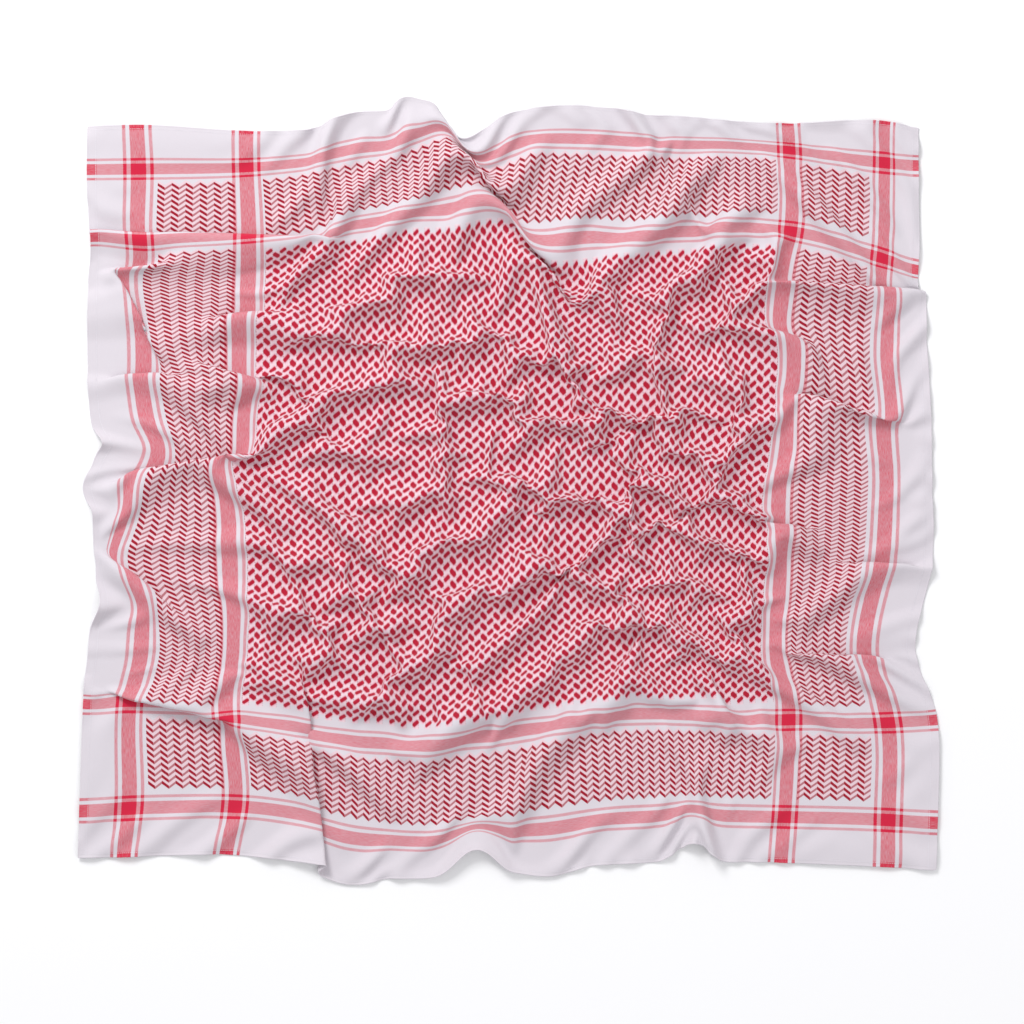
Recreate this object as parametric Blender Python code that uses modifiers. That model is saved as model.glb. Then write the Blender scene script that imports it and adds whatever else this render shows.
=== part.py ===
"""A woven cotton keffiyeh, one square with four turned hems, laid out ruffled on a flat surface.

The flat square is laid by short tables: where its bands come to lie, how its hems wave, the ridges it is
pushed up into and the laps where it folds over itself. It lies on z = 0. Metres, +Z up, +Y to the top hem.
"""

import bmesh
import bpy
import numpy as np

MM = 0.001
SIDE = 1.300  # the woven square, from hem edge to hem edge
SIDE_HEM = 0.012  # width of the turned hems at the left and right
END_HEM = 0.0065  # width of the turned hems at the top and bottom
CLOTH_WALL = 0.0012
HEM_WALL = 0.0010
SEAM_GAP = 0.0003

HALF = SIDE / 2
CELL = 0.050  # longest side of a face where the cloth lies flat
WAVE_DEPTH = 0.120  # how far in from the hem its waves reach
WAVE_LIFT = 0.4  # height that a hem drawn in is lifted by, as a share of how far it is drawn in
REACH = 0.085  # how far to each side a fold draws its cloth from
LAP_RISE = 0.012  # height of the upper layer of a lap over the lower one
LAP_TURN = 1 / 3  # half width of a lap's turned-back layer, as a share of the cloth it takes up
LAP_BEND = 0.7  # where the cloth turns back and on again, as a share of the turned-back layer's half width
LAP_ROUND = 0.45  # half width of each of those turns, as the same share
LAP_SETTLE = 1.6  # how far behind its line a lap's upper layer comes down again, as a share of its take
LAP_FINE = (1.4, 1.0, 0.6)  # half widths of the strips refined along a lap, as shares of its take
RIDGE_FINE = 0.1  # strength of a ridge from which the cloth along it is refined
FOLD_EDGE = 0.030  # length over which a fold fades out at each end
NEAR = 0.01 * MM  # points closer than this are the same

# Where the cloth lies, in mm from the middle of the laid scarf. The columns are the left hem, outer left
# band, inner left band, two lines through the centre field, inner right band, outer right band and right
# hem. The rows are the top hem, outer top band, inner top band, three lines across the centre field and
# the same bands down to the bottom hem, each named by its height on the flat square.
COLUMNS = (-650, -585, -445, -150, 150, 445, 585, 650)
LAID_X = {
    650: (-552, -489, -345, -97, 160, 363, 490, 534),
    585: (-554, -486, -345, -95, 160, 365, 490, 534),
    445: (-548, -493, -338, -96, 134, 368, 490, 537),
    300: (-555, -493, -345, -96, 134, 356, 493, 541),
    150: (-554, -483, -347, -102, 134, 367, 493, 550),
    0: (-549, -472, -369, -107, 134, 352, 493, 552),
    -150: (-545, -514, -363, -113, 134, 355, 485, 553),
    -300: (-553, -481, -362, -121, 134, 348, 462, 531),
    -445: (-558, -500, -371, -128, 134, 365, 495, 559),
    -585: (-563, -499, -359, -134, 138, 359, 495, 559),
    -650: (-565, -506, -372, -139, 138, 354, 494, 557),
}
LAID_Y = {
    650: (479, 481, 473, 487, 496, 483, 486, 477),
    585: (423, 424, 426, 456, 458, 449, 432, 428),
    445: (335, 334, 334, 367, 334, 343, 310, 295),
    300: (250, 250, 250, 253, 232, 244, 237, 246),
    150: (148, 149, 144, 136, 127, 115, 111, 115),
    0: (39, 39, 37, 18, 21, 1, -1, 4),
    -150: (-76, -76, -79, -100, -85, -96, -96, -96),
    -300: (-196, -196, -196, -216, -190, -199, -199, -204),
    -445: (-276, -280, -292, -330, -292, -297, -301, -297),
    -585: (-417, -413, -410, -456, -426, -424, -428, -432),
    -650: (-477, -476, -473, -504, -485, -483, -489, -493),
}

# Waves of the hems: the side, the middle of the wave along it, its half width and its way out, in mm.
WAVES = {
    "top_left_wave": ("top", -196, 80, 19),
    "top_left_point": ("top", -134, 30, 12),
    "top_middle_wave": ("top", 65, 130, 12),
    "bottom_left_point": ("bottom", -203, 52, 14),
    "bottom_arch": ("bottom", -46, 54, -36),
    "bottom_middle_wave": ("bottom", 55, 60, 10),
    "bottom_right_arch": ("bottom", 238, 48, -24),
    "left_upper_notch": ("left", 66, 24, -15),
    "left_middle_wave": ("left", 7, 34, 13),
    "left_lower_notch": ("left", -148, 40, -10),
}
SIDES = {"top": (0, 1), "bottom": (0, -1), "left": (1, -1), "right": (1, 1)}  # axis along, way out

# Ridges: from (x, y) to (x, y), the half width of the ridge and the cloth it takes up, all in mm.
RIDGES = {
    "top_bump": (-252, 520, -232, 345, 28, 10),
    "top_long_upper": (-128, 530, -48, 392, 32, 12),
    "top_long_lower": (-48, 392, 50, 262, 30, 14),
    "top_long_end": (50, 262, 96, 120, 32, 12),
    "top_right_step": (145, 520, 270, 318, 28, 12),
    "right_top_slant": (270, 318, 300, 215, 30, 10),
    "centre_upright": (-92, 158, -86, -20, 26, 12),
    "centre_upper": (-44, 128, 104, 90, 28, 12),
    "centre_upper_right": (104, 90, 222, 104, 28, 10),
    "centre_middle": (-24, 32, 150, -26, 26, 12),
    "centre_pocket": (112, -70, 172, 20, 24, 13),
    "centre_lower": (34, -84, 122, -130, 26, 11),
    "left_slant": (-320, 120, -190, 40, 30, 11),
    "left_lower_slant": (-250, -20, -120, -130, 32, 12),
    "right_slant": (230, 60, 330, -40, 28, 10),
    "lower_right_slant": (170, -150, 300, -230, 30, 10),
    "lower_middle": (-60, -180, 10, -300, 30, 10),
    "bottom_arch": (-10, -520, 30, -330, 32, 12),
    "bottom_right_arch": (240, -360, 268, -520, 34, 8),
    "right_shoulder": (410, 215, 470, 140, 24, 8),
    "left_shoulder": (-440, -20, -400, -120, 26, 9),
    "inner_top_left": (-540, 330, -345, 326, 20, 7),
    "left_border_upper": (-470, 158, -330, 152, 20, 8),
    "left_border_middle": (-500, 32, -350, 48, 20, 8),
    "left_border_lower": (-520, -106, -455, -160, 20, 8),
    "inner_bottom_left": (-520, -262, -362, -290, 20, 8),
    "right_border_upper": (345, 276, 500, 262, 20, 7),
    "right_border_middle": (340, -52, 500, -82, 20, 8),
    "right_border_lower": (372, -212, 495, -216, 20, 8),
}

# Laps: from (x, y) to (x, y) and the cloth taken up, in mm. Going from the first point to the second, the
# cloth on the left passes over the cloth on the right.
LAPS = {
    "lower_left_spill": (-246, -455, -272, -240, 54),
    "left_border_slant": (-458, 172, -508, 285, 44),
    "right_border_shoulder": (505, 92, 372, 132, 44),
}


def cubic(stations, values, at):
    """The smooth curve through the values at the stations, read at each place in at."""
    stations = np.asarray(stations, float)
    slopes = np.gradient(values, stations, axis=0)
    span = np.clip(np.searchsorted(stations, at, side="right") - 1, 0, len(stations) - 2)
    width = stations[span + 1] - stations[span]
    t = (at - stations[span]) / width
    point = np.arange(len(at)) if values.ndim == 2 else 0
    values, slopes = values.reshape(len(stations), -1), slopes.reshape(len(stations), -1)
    start, end = values[span, point], values[span + 1, point]
    leaving, arriving = slopes[span, point] * width, slopes[span + 1, point] * width
    return (
        start * (1 + 2 * t) * (1 - t) ** 2
        + leaving * t * (1 - t) ** 2
        + end * t**2 * (3 - 2 * t)
        + arriving * t**2 * (t - 1)
    )


def rise(x):
    """0 below -1, 1 above 1, and a smooth rise between them."""
    return 0.5 + 0.5 * np.sin(np.pi / 2 * np.clip(x, -1, 1))


def spread(flat):
    """Where the flat cloth's points lie before it is folded: the tables' lines, joined smoothly."""
    u, v = flat[:, 0] / MM, flat[:, 1] / MM
    levels = sorted(LAID_X)
    laid = []
    for table in (LAID_X, LAID_Y):
        across = [cubic(COLUMNS, np.array(table[level], float), u) for level in levels]
        laid.append(cubic(levels, np.array(across), v) * MM)
    places = np.stack(laid, axis=1)
    for wave in WAVES.values():
        along, out = SIDES[wave[0]]
        places[:, 1 - along] += out * wave_reach(flat, places, wave) * wave[3] * MM
    return places


def hump(x):
    """1 at 0, falling smoothly to 0 at -1 and 1."""
    return 0.5 + 0.5 * np.cos(np.pi * np.clip(x, -1, 1))


def wave_reach(flat, places, wave):
    """How much of a hem's wave each point follows: all of it on the hem, none of it further in."""
    side, middle, half, _ = wave
    along, out = SIDES[side]
    inwards = HALF - out * flat[:, 1 - along]
    return hump((places[:, along] / MM - middle) / half) * hump(inwards / WAVE_DEPTH)


def across_fold(places, fold):
    """Distance of each place to the left of the fold's line, its strength there and the line's normal."""
    start, end = np.array(fold[:2]) * MM, np.array(fold[2:4]) * MM
    length = np.linalg.norm(end - start)
    along = (end - start) / length
    normal = np.array([-along[1], along[0]])
    reach = (places - start) @ along
    strength = rise(reach / FOLD_EDGE) * rise((length - reach) / FOLD_EDGE)
    return (places - start) @ normal, strength, normal


def crowd(off, take, half):
    """How far a fold moves the cloth: in towards its line from REACH on each side, packed within half."""
    return take * (rise(off / REACH) - rise(off / half))


def laid_cloth(flat):
    """Every point of the flat cloth where it lies, folded, with its underside on z = 0."""
    places = spread(flat)
    shift = np.zeros_like(places)
    height = np.zeros(len(flat))
    for wave in WAVES.values():
        drawn_in = max(-wave[3], 0) * MM
        height += WAVE_LIFT * drawn_in * wave_reach(flat, places, wave)
    for fold in RIDGES.values():
        half, take = fold[4] * MM, fold[5] * MM
        off, strength, normal = across_fold(places, fold)
        shift += np.outer(crowd(off, take * strength, half), normal)
        top = np.sqrt(8 * half * take) / np.pi
        height += strength * top * hump(off / half)
    for fold in LAPS.values():
        take = fold[4] * MM
        half = take * LAP_TURN
        off, strength, normal = across_fold(places, fold)
        shift += np.outer(crowd(off, take * strength, half), normal)
        settle = 1 - rise(off / take - LAP_SETTLE)
        turns = rise((off / half + LAP_BEND) / LAP_ROUND) + rise((off / half - LAP_BEND) / LAP_ROUND)
        height += strength * LAP_RISE * turns / 2 * settle
    return np.column_stack([places + shift, height])


def flat_cloth():
    """The flat square as a mesh: a ring of faces as wide as the hems, and smaller faces near the folds."""
    cells = int(np.ceil(SIDE / CELL))
    bpy.ops.mesh.primitive_grid_add(x_subdivisions=cells, y_subdivisions=cells, size=2)
    grid = bpy.context.object
    lines = np.linspace(-1, 1, cells + 1)
    mesh = bmesh.new()
    mesh.from_mesh(grid.data)
    for vert in mesh.verts:
        for axis, hem in ((0, SIDE_HEM), (1, END_HEM)):
            inner = np.concatenate([[-HALF], np.linspace(hem - HALF, HALF - hem, cells - 1), [HALF]])
            vert.co[axis] = np.interp(vert.co[axis], lines, inner)
    for passes in range(len(LAP_FINE)):
        refine(mesh, passes)
    bmesh.ops.triangulate(mesh, faces=mesh.faces[:])
    mesh.to_mesh(grid.data)
    mesh.free()
    return grid


def refine(mesh, passes):
    """Cut each edge near a fold in two: ridges once, laps once more at each pass and nearer the fold."""
    edges = [edge for edge in mesh.edges if not crosses_a_hem(edge)]
    middles = np.array([(edge.verts[0].co + edge.verts[1].co) / 2 for edge in edges])
    places = spread(middles[:, :2])
    near = np.zeros(len(edges), bool)
    if passes == 0:
        for fold in RIDGES.values():
            off, strength, _ = across_fold(places, fold)
            near |= (np.abs(off) < fold[4] * MM) & (strength > RIDGE_FINE)
    for fold in LAPS.values():
        off, strength, _ = across_fold(places, fold)
        near |= (np.abs(off) < fold[4] * MM * LAP_FINE[passes]) & (strength > 0)
    chosen = [edge for edge, is_near in zip(edges, near) if is_near]
    bmesh.ops.subdivide_edges(mesh, edges=chosen, cuts=1, use_grid_fill=True)


def crosses_a_hem(edge):
    """Whether an edge runs from the outer side of a hem to its inner side, straight or slantwise."""
    a, b = (vert.co for vert in edge.verts)
    for axis, hem in ((0, SIDE_HEM), (1, END_HEM)):
        outer = max(abs(a[axis]), abs(b[axis]))
        inner = min(abs(a[axis]), abs(b[axis]))
        if outer > HALF - NEAR and abs(outer - inner - hem) < NEAR:
            return True
    return False


def sheet(name, points, faces, wall, colour, roughness, collection):
    """A closed wall of cloth standing on the open surface of the given points and faces."""
    used = sorted({index for face in faces for index in face})
    place = {index: k for k, index in enumerate(used)}
    mesh = bpy.data.meshes.new(name)
    mesh.from_pydata([points[index] for index in used], [], [[place[i] for i in face] for face in faces])
    mesh.materials.append(woven(name, colour, roughness))
    piece = bpy.data.objects.new(name, mesh)
    collection.objects.link(piece)
    solid = piece.modifiers.new("wall", "SOLIDIFY")
    solid.thickness = wall
    solid.offset = 1
    return piece


def woven(name, colour, roughness):
    """A plain cotton finish of one colour."""
    material = bpy.data.materials.new(name)
    material.use_nodes = True
    shader = material.node_tree.nodes["Principled BSDF"]
    shader.inputs["Base Color"].default_value = colour
    shader.inputs["Roughness"].default_value = roughness
    shader.inputs["Metallic"].default_value = 0.0
    return material


def surface_normals(points, faces):
    """The normal at each point, from the areas of the faces round it."""
    corners = points[faces]
    areas = np.cross(corners[:, 1] - corners[:, 0], corners[:, 2] - corners[:, 0])
    normals = np.zeros_like(points)
    for corner in range(3):
        np.add.at(normals, faces[:, corner], areas)
    return normals / np.linalg.norm(normals, axis=1, keepdims=True)


def hem_faces(flat, faces):
    """The faces that lie over each turned hem; the side hems run the whole length, corner to corner."""
    u, v = flat[faces][:, :, 0], flat[faces][:, :, 1]
    left = (u < SIDE_HEM - HALF + NEAR).all(axis=1)
    right = (u > HALF - SIDE_HEM - NEAR).all(axis=1)
    top = (v > HALF - END_HEM - NEAR).all(axis=1) & ~left & ~right
    bottom = (v < END_HEM - HALF + NEAR).all(axis=1) & ~left & ~right
    return {"hem_left": left, "hem_right": right, "hem_top": top, "hem_bottom": bottom}


def build():
    for old in list(bpy.data.objects):
        bpy.data.objects.remove(old, do_unlink=True)
    collection = bpy.data.collections.new("keffiyeh")
    bpy.context.scene.collection.children.link(collection)

    pattern = flat_cloth()
    flat = np.array([vert.co for vert in pattern.data.vertices])
    faces = np.array([face.vertices for face in pattern.data.polygons])
    bpy.data.objects.remove(pattern, do_unlink=True)

    points = laid_cloth(flat)
    points[:, :2] -= (points[:, :2].max(axis=0) + points[:, :2].min(axis=0)) / 2
    over_hems = hem_faces(flat, faces)
    hemmed = np.unique(faces[np.any(list(over_hems.values()), axis=0)])
    points[hemmed, 2] += HEM_WALL + SEAM_GAP
    normals = surface_normals(points, faces)

    sheet("cloth", points, faces, CLOTH_WALL, (0.78, 0.42, 0.47, 1), 0.9, collection)
    turned_under = points - normals * (HEM_WALL + SEAM_GAP)
    for name, chosen in over_hems.items():
        strip = turned_under.copy()
        if name in ("hem_top", "hem_bottom"):
            ends = np.abs(np.abs(flat[:, 0]) - (HALF - SIDE_HEM)) < NEAR
            strip[ends, 0] -= np.sign(flat[ends, 0]) * SEAM_GAP
        sheet(name, strip, faces[chosen], HEM_WALL, (0.80, 0.78, 0.80, 1), 0.9, collection)


build()
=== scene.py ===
"""A red and white cotton keffiyeh laid out ruffled: the woven square, its turned hems and their stitches.

The cloth is laid by a table of where its bands lie and tables of its folds, then left to settle. Its woven
figure follows the flat square, so it bends, crowds and hides with the cloth."""

import bpy
import numpy as np
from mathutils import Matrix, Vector


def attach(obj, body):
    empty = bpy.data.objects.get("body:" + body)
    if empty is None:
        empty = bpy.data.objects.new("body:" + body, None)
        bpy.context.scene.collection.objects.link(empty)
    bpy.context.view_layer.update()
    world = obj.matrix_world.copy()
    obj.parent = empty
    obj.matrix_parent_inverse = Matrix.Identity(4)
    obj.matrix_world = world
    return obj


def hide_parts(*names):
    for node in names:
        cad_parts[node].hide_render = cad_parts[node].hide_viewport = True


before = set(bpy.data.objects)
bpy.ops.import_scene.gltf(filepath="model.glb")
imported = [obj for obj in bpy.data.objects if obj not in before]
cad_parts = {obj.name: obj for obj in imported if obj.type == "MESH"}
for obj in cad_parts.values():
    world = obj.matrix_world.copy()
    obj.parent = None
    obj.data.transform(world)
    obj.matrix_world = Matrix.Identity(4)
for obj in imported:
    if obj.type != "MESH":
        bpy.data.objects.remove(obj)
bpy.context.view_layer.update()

# --- The woven square, as it is laid -----------------------------------------------------------------
# One square of plain-woven cotton, 1.3 m each way, thin and limp. It is gathered loosely on the floor, so
# that its bands come to lie closer than they are woven and the spare cloth stands up in folds.

MM = 0.001
SIDE = 1.300
HALF = SIDE / 2

# Where the cloth lies, in mm from the middle of the laid scarf. The columns are the left hem, outer left
# band, inner left band, two lines through the field, inner right band, outer right band and right hem.
# The rows are the top hem, its two bands, five lines across the field, the bottom bands and hem, each
# named by its height on the flat square.
COLUMNS = (-650, -585, -445, -150, 150, 445, 585, 650)
LAID_X = {
    650: (-552, -489, -345, -97, 160, 363, 490, 534),
    585: (-554, -486, -345, -95, 160, 365, 490, 534),
    445: (-548, -493, -338, -96, 134, 368, 490, 537),
    300: (-555, -493, -345, -96, 134, 356, 493, 541),
    150: (-554, -483, -347, -102, 134, 367, 493, 550),
    0: (-549, -474, -369, -107, 134, 352, 493, 552),
    -150: (-545, -514, -363, -113, 134, 355, 485, 553),
    -300: (-553, -481, -362, -121, 134, 348, 462, 531),
    -445: (-558, -500, -371, -128, 134, 365, 495, 559),
    -585: (-563, -499, -359, -134, 138, 359, 495, 559),
    -650: (-565, -506, -372, -139, 138, 354, 494, 557),
}
LAID_Y = {
    650: (479, 481, 473, 487, 496, 483, 486, 477),
    585: (423, 424, 426, 456, 458, 449, 432, 428),
    445: (326, 324, 326, 367, 334, 343, 310, 295),
    300: (250, 250, 250, 253, 232, 244, 237, 246),
    150: (148, 149, 144, 136, 127, 115, 111, 115),
    0: (39, 39, 37, 18, 21, 1, -1, 4),
    -150: (-76, -76, -79, -100, -85, -96, -96, -96),
    -300: (-196, -196, -196, -216, -190, -199, -199, -204),
    -445: (-276, -280, -292, -330, -292, -297, -301, -297),
    -585: (-417, -413, -410, -456, -426, -424, -428, -432),
    -650: (-477, -476, -473, -504, -485, -483, -489, -493),
}

# Waves of the hems: the side, the middle of the wave along it, its half width and its way out, in mm.
WAVE_DEPTH = 0.120  # how far in from the hem its waves reach
WAVE_LIFT = 0.4  # height that a hem drawn in is lifted by, as a share of how far it is drawn in
WAVES = {
    "top_left_wave": ("top", -196, 80, 19),
    "top_left_point": ("top", -134, 30, 12),
    "top_middle_wave": ("top", 65, 130, 12),
    "bottom_left_point": ("bottom", -203, 52, 14),
    "bottom_arch": ("bottom", -46, 54, -36),
    "bottom_middle_wave": ("bottom", 55, 60, 10),
    "bottom_right_arch": ("bottom", 238, 48, -24),
    "left_upper_notch": ("left", 66, 24, -15),
    "left_middle_wave": ("left", 7, 34, 13),
    "left_lower_notch": ("left", -148, 40, -10),
}
SIDES = {"top": (0, 1), "bottom": (0, -1), "left": (1, -1), "right": (1, 1)}  # axis along, way out

# Broad folds: from (x, y) to (x, y), half width and cloth taken up, all in mm.
REACH = 0.085  # how far to each side a fold draws its cloth from
FOLD_EDGE = 0.030  # length over which a fold fades out at each end
RIDGES = {
    "top_bump": (-252, 520, -232, 345, 28, 10),
    "top_long_end": (50, 262, 96, 120, 32, 12),
    "top_right_step": (145, 520, 270, 318, 28, 12),
    "right_top_slant": (270, 318, 300, 215, 30, 10),
    "centre_upright": (-92, 158, -86, -20, 26, 12),
    "centre_upper": (-44, 128, 104, 90, 28, 12),
    "centre_upper_right": (104, 90, 222, 104, 28, 10),
    "centre_middle": (-24, 32, 150, -26, 26, 12),
    "centre_pocket": (112, -70, 172, 20, 24, 13),
    "centre_lower": (34, -84, 122, -130, 26, 11),
    "left_slant": (-320, 120, -190, 40, 30, 11),
    "left_lower_slant": (-250, -20, -120, -130, 32, 12),
    "right_slant": (230, 60, 330, -40, 28, 10),
    "lower_right_slant": (170, -150, 300, -230, 30, 10),
    "lower_middle": (-60, -180, 10, -300, 30, 10),
    "bottom_arch": (-10, -520, 30, -330, 32, 12),
    "bottom_right_arch": (240, -360, 268, -520, 30, 10),
    "right_shoulder": (410, 215, 470, 140, 24, 8),
    "left_shoulder": (-440, -20, -400, -120, 26, 9),
}

# Narrow creases, where the thin cloth is pinched between smooth faces: from (x, y) to (x, y), how far
# the line bows to its left and the cloth taken up, all in mm.
CREASE_REACH = 0.045  # how far to each side a crease draws its cloth from
CREASE_HALF = 0.011  # half width of the slightest crease
CREASE_STEEP = 0.8  # half width of a deeper one, as a share of the cloth it takes up
CREASE_DEPTH = 1.1  # how much of the cloth in the last column a crease takes up once laid
CREASES = {
    "upper_left_a": (-249, 200, -33, 200, -5, 12),
    "upper_left_b": (-258, 128, -106, 157, -4, 12),
    "upper_left_c": (-191, 168, -77, 170, 5, 8),
    "upper_left_d": (-161, 280, -4, 280, 5, 9),
    "upper_left_e": (-237, 241, -161, 255, -3, 9),
    "upper_left_f": (-296, 183, -208, 225, 6, 10),
    "upper_left_g": (-292, 262, -266, 305, 0, 9),
    "upper_left_h": (-330, 155, -262, 118, 14, 18),
    "upper_left_i": (-246, 98, -225, 50, 0, 9),
    "upright_a": (-94, 143, -80, 72, 0, 13),
    "upright_b": (-113, 117, -97, 67, 0, 10),
    "upright_c": (-81, 127, 4, 119, 6, 12),
    "upright_d": (4, 119, 13, 90, 0, 10),
    "upright_e": (-22, 93, -29, 30, 0, 9),
    "diagonal_a": (-42, 221, 46, 164, 0, 12),
    "diagonal_c": (37, 258, 54, 181, -2, 14),
    "diagonal_d": (54, 181, 106, 119, -3, 20),
    "diagonal_e": (106, 119, 216, 90, -4, 22),
    "diagonal_f": (-1, 172, 33, 134, 0, 8),
    "upper_right_a": (97, 305, 109, 259, 0, 10),
    "upper_right_b": (132, 267, 140, 224, 0, 8),
    "upper_right_c": (185, 255, 237, 288, 3, 10),
    "upper_right_d": (214, 262, 190, 183, -3, 12),
    "upper_right_e": (190, 183, 208, 113, -5, 12),
    "upper_right_f": (138, 136, 173, 183, 0, 8),
    "upper_right_g": (232, 236, 266, 250, 3, 9),
    "upper_right_h": (252, 207, 333, 274, 0, 13),
    "upper_right_i": (333, 274, 348, 325, -4, 12),
    "upper_right_j": (263, 207, 351, 212, 5, 14),
    "right_a": (206, 110, 278, 90, 5, 12),
    "right_b": (278, 30, 330, 96, 3, 13),
    "right_c": (304, 157, 278, 52, 6, 14),
    "right_d": (173, 69, 254, 52, -7, 12),
    "centre_a": (13, 90, 103, 93, -1, 18),
    "centre_b": (16, 69, 89, 69, -2, 9),
    "centre_c": (103, 55, 176, 90, -4, 14),
    "centre_d": (-26, 17, 30, -30, -4, 12),
    "centre_e": (30, -30, 75, -38, 0, 10),
    "centre_f": (4, 29, 45, -9, -6, 10),
    "centre_g": (45, -9, 153, 3, -6, 14),
    "centre_h": (132, 34, 217, 20, 3, 12),
    "pocket_a": (159, 0, 156, -79, 3, 18),
    "pocket_b": (161, -76, 197, -38, 0, 16),
    "pocket_c": (197, -38, 278, -26, 4, 20),
    "pocket_d": (278, -26, 337, -26, 0, 16),
    "pocket_e": (159, 12, 249, -12, -3, 12),
    "pocket_f": (249, -12, 301, 0, -3, 16),
    "pocket_g": (240, -7, 290, 38, -2, 10),
    "lower_left_a": (-354, -29, -308, -93, 0, 10),
    "lower_left_b": (-316, -33, -275, -131, -3, 13),
    "lower_left_c": (-275, -131, -223, -219, 0, 12),
    "lower_left_d": (-244, -59, -203, -93, 0, 8),
    "lower_left_e": (-237, -88, -156, -198, 0, 16),
    "lower_left_f": (-246, -14, -179, -24, -5, 9),
    "lower_left_g": (-325, -143, -258, -172, 5, 11),
    "lower_left_h": (-240, -219, -246, -266, 0, 9),
    "lower_centre_a": (-156, -38, -103, 3, 3, 9),
    "lower_centre_b": (-132, -79, -34, -59, 5, 12),
    "lower_centre_c": (-92, -138, -28, -126, 4, 10),
    "lower_centre_d": (-86, -149, -103, -219, -3, 12),
    "lower_centre_e": (-103, -219, -92, -295, -3, 12),
    "lower_centre_f": (-127, -214, -194, -292, 0, 18),
    "lower_centre_g": (-71, -210, -25, -303, 0, 12),
    "lower_centre_h": (-13, -131, 89, -88, -3, 18),
    "lower_centre_i": (89, -88, 132, -52, 0, 22),
    "lower_centre_j": (22, -76, 63, -71, -8, 9),
    "lower_centre_k": (4, -187, 109, -85, 3, 10),
    "lower_right_a": (191, -47, 337, -93, 3, 12),
    "lower_right_b": (118, -114, 173, -161, 0, 10),
    "lower_right_c": (170, -123, 237, -117, 4, 9),
    "lower_right_d": (237, -117, 280, -140, 2, 9),
    "lower_right_e": (94, -172, 185, -178, 0, 12),
    "lower_right_f": (135, -236, 173, -190, 0, 10),
    "lower_right_g": (54, -193, 56, -259, 0, 9),
    "lower_right_h": (263, -248, 295, -297, -3, 14),
    "lower_right_i": (301, -102, 318, -166, 2, 11),
    "lower_right_j": (275, -166, 337, -231, 0, 11),
}

# A lap folds the cloth over itself: from (x, y) to (x, y), the cloth taken up and how far the upper layer
# has slipped along the line, all in mm. The cloth left of the line lies on top.
LAP_RISE = 0.012  # height of the upper layer over the lower one
LAP_TURN = 1 / 3  # half width of the turned-back layer, as a share of the cloth taken up
LAP_BEND = 0.7  # where the cloth turns back and on again, as a share of that half width
LAP_ROUND = 0.45  # half width of each of those turns, as the same share
LAP_SETTLE = 1.6  # how far behind its line the upper layer comes down, as a share of the cloth taken up
LAPS = {
    "inner_top_left": (-230, 332, -560, 342, 28, 0),
    "left_border_slant": (-458, 172, -508, 285, 40, 0),
    "left_border_upper": (-455, 294, -520, 290, 20, 26),
    "inner_left_upper": (-310, 236, -380, 232, 26, 16),
    "left_border_tuck": (-440, 156, -530, 150, 26, 0),
    "inner_left_middle": (-325, 146, -400, 168, 24, -18),
    "left_border_middle": (-330, 50, -500, 26, 40, 30),
    "left_border_lower": (-452, -140, -524, -84, 30, -24),
    "top_long_slant": (74, 256, -122, 540, 36, 56),
    "lower_left_spill": (-240, -540, -272, -240, 46, 0),
    "inner_bottom_left": (-520, -262, -372, -296, 26, 0),
    "right_border_upper": (548, 262, 345, 276, 24, -10),
    "right_border_shoulder": (505, 92, 372, 132, 44, 30),
    "inner_right_upper": (400, 206, 335, 212, 22, -26),
    "right_border_middle": (540, -98, 440, -90, 26, 0),
    "inner_right_middle": (392, -46, 335, -40, 22, 0),
    "right_border_lower": (495, -216, 372, -212, 26, 0),
}


def cubic(stations, values, at):
    """The smooth curve through the values at the stations, read at each place in at."""
    stations = np.asarray(stations, float)
    slopes = np.gradient(values, stations, axis=0)
    span = np.clip(np.searchsorted(stations, at, side="right") - 1, 0, len(stations) - 2)
    width = stations[span + 1] - stations[span]
    t = (at - stations[span]) / width
    point = np.arange(len(at)) if values.ndim == 2 else 0
    values, slopes = values.reshape(len(stations), -1), slopes.reshape(len(stations), -1)
    start, end = values[span, point], values[span + 1, point]
    leaving, arriving = slopes[span, point] * width, slopes[span + 1, point] * width
    return (
        start * (1 + 2 * t) * (1 - t) ** 2
        + leaving * t * (1 - t) ** 2
        + end * t**2 * (3 - 2 * t)
        + arriving * t**2 * (t - 1)
    )


def rise(x):
    """0 below -1, 1 above 1, and a smooth rise between them."""
    return 0.5 + 0.5 * np.sin(np.pi / 2 * np.clip(x, -1, 1))


def hump(x):
    """1 at 0, falling smoothly to 0 at -1 and 1."""
    return 0.5 + 0.5 * np.cos(np.pi * np.clip(x, -1, 1))


def wave_reach(flat, places, side, middle, half):
    """How much of a hem's wave each point follows: all of it on the hem, none of it further in."""
    along, out = SIDES[side]
    inwards = HALF - out * flat[:, 1 - along]
    return hump((places[:, along] / MM - middle) / half) * hump(inwards / WAVE_DEPTH)


def spread(flat):
    """Where the flat cloth's points lie before it is folded: the tables' lines, joined smoothly."""
    u, v = flat[:, 0] / MM, flat[:, 1] / MM
    levels = sorted(LAID_X)
    laid = []
    for table in (LAID_X, LAID_Y):
        across = [cubic(COLUMNS, np.array(table[level], float), u) for level in levels]
        laid.append(cubic(levels, np.array(across), v) * MM)
    places = np.stack(laid, axis=1)
    for side, middle, half, push in WAVES.values():
        along, out = SIDES[side]
        places[:, 1 - along] += out * wave_reach(flat, places, side, middle, half) * push * MM
    return places


def across_fold(places, line, bow=0):
    """Distance of each place to the left of the fold's line, its strength there and the line's normal."""
    start, end = np.reshape(line, (2, 2)) * MM
    length = np.linalg.norm(end - start)
    along = (end - start) / length
    normal = np.array([-along[1], along[0]])
    reach = (places - start) @ along
    strength = rise(reach / FOLD_EDGE) * rise((length - reach) / FOLD_EDGE)
    bowed = bow * MM * (1 - (2 * reach / length - 1).clip(-1, 1) ** 2)
    return (places - start) @ normal - bowed, strength, normal


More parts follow.
